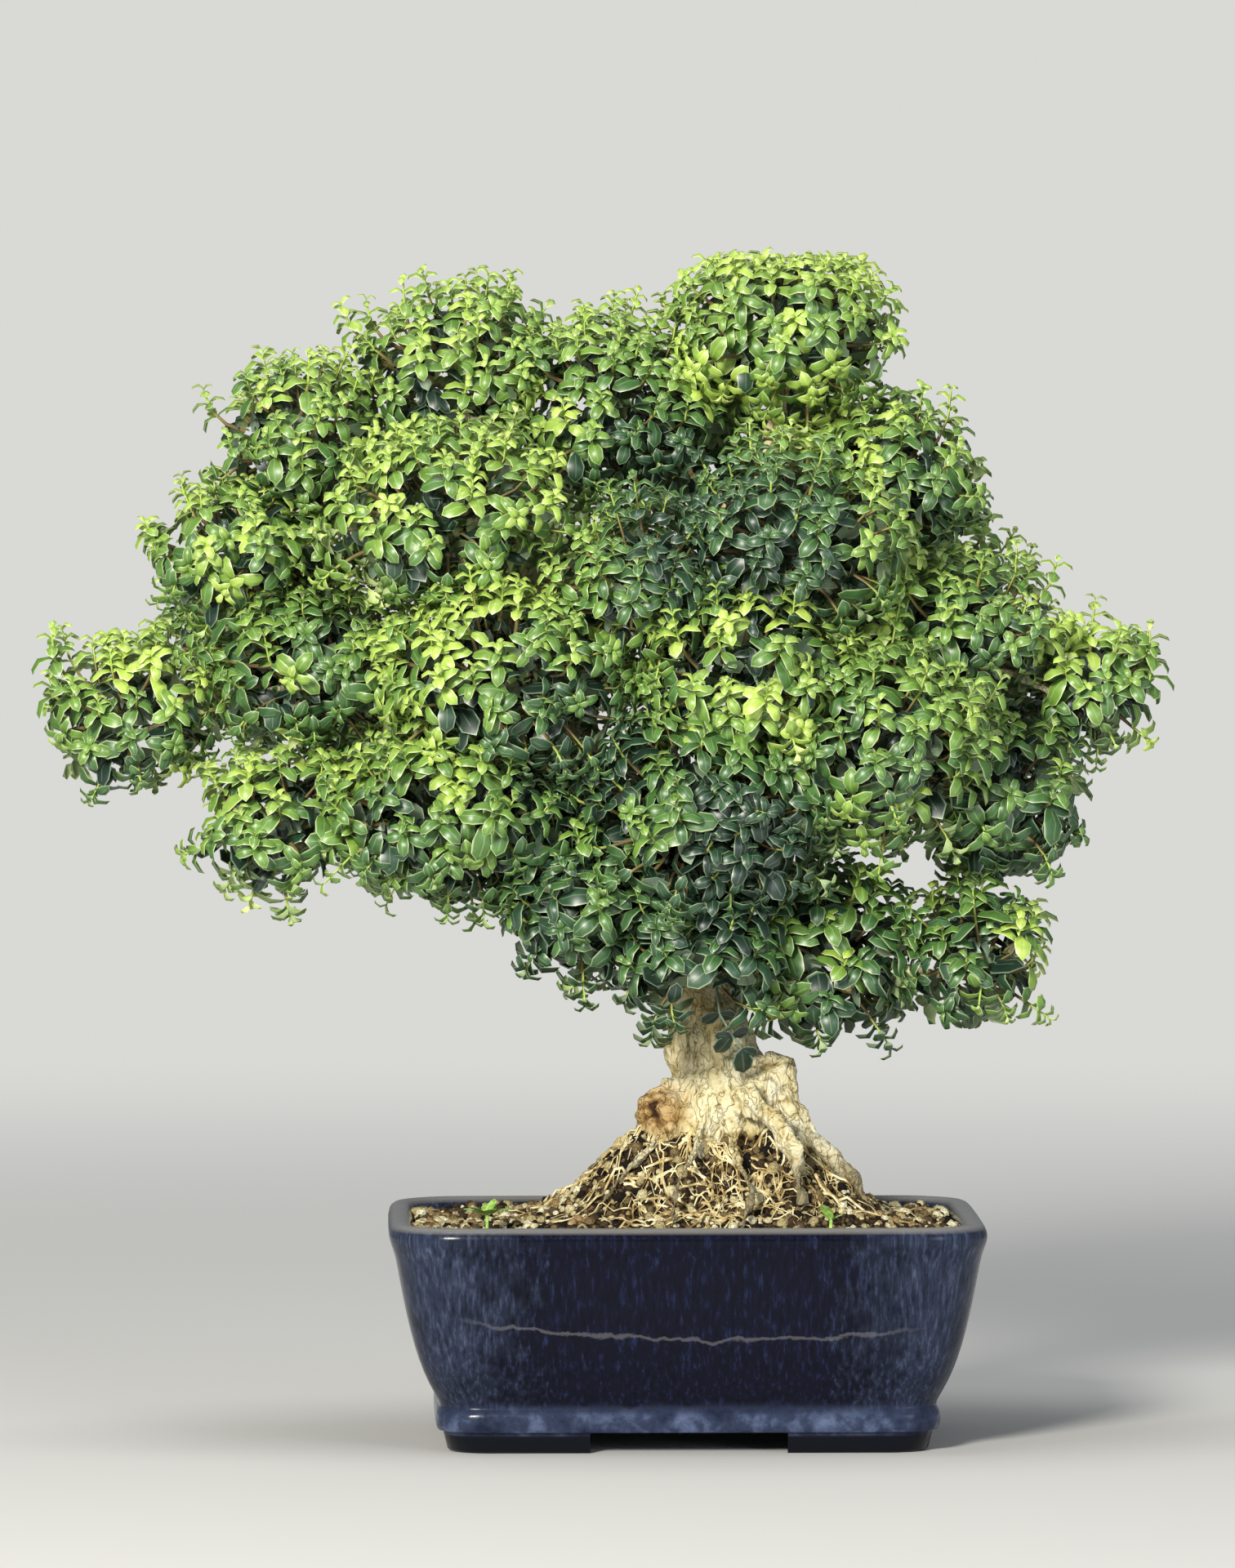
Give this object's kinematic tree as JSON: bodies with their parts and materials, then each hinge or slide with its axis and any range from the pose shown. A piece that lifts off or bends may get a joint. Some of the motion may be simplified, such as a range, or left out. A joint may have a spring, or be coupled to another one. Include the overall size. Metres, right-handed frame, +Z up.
{
  "type": "kingsville boxwood bonsai",
  "caption": "Small boxwood bonsai with a flared trunk, surface roots and layered pads of small leaves, growing in a glazed rectangular pot with rounded corners.",
  "frame": {"origin": "centre of the object's bounding box, on the surface that the pot stands on", "axes": "+Z up; +X along the pot's long side, to the right as seen from the front; -Y towards a viewer in front of the tree"},
  "size_m": [0.294, 0.1724, 0.3058],
  "materials": {
    "glazed_stoneware": "glossy dark blue glaze with lighter streaks at the corners and foot",
    "screen_mesh": "plain moulded plastic mesh",
    "soil": "coarse dry grains of pumice, lava and clay",
    "bark": "pale, finely wrinkled and pebbled bark",
    "leaf": "leathery leaf with a waxy sheen and a pale rim",
    "seedling": "soft young leaf"
  },
  "bodies": {
    "root": {"pot": "glazed_stoneware", "drain_screen_left": "screen_mesh", "drain_screen_right": "screen_mesh", "soil": "soil", "wood": "bark", "seedling_left": "seedling", "seedling_right": "seedling", "foliage_crown_left": "leaf", "foliage_crown_middle": "leaf", "foliage_crown_right": "leaf", "foliage_shoulder_left": "leaf", "foliage_upper_left": "leaf", "foliage_low_left_inner": "leaf", "foliage_low_left_tip": "leaf", "foliage_front_left": "leaf", "foliage_front_left_low": "leaf", "foliage_front_middle": "leaf", "foliage_bottom_left_inner": "leaf", "foliage_bottom_left_tip": "leaf", "foliage_upper_right": "leaf", "foliage_front_right_high": "leaf", "foliage_right_inner": "leaf", "foliage_right_tip": "leaf", "foliage_front_tall": "leaf", "foliage_front_right_low": "leaf", "foliage_right_middle": "leaf", "foliage_bottom_right": "leaf", "foliage_skirt_left": "leaf", "foliage_skirt_front": "leaf", "foliage_low_right_inner": "leaf", "foliage_low_right_tip": "leaf", "foliage_back_high_left": "leaf", "foliage_back_high": "leaf", "foliage_back_high_right": "leaf", "foliage_back_left": "leaf", "foliage_back_middle": "leaf", "foliage_back_right": "leaf", "foliage_back_low_left": "leaf", "foliage_back_low_right": "leaf", "foliage_back_skirt": "leaf"}
  },
  "joints": []
}
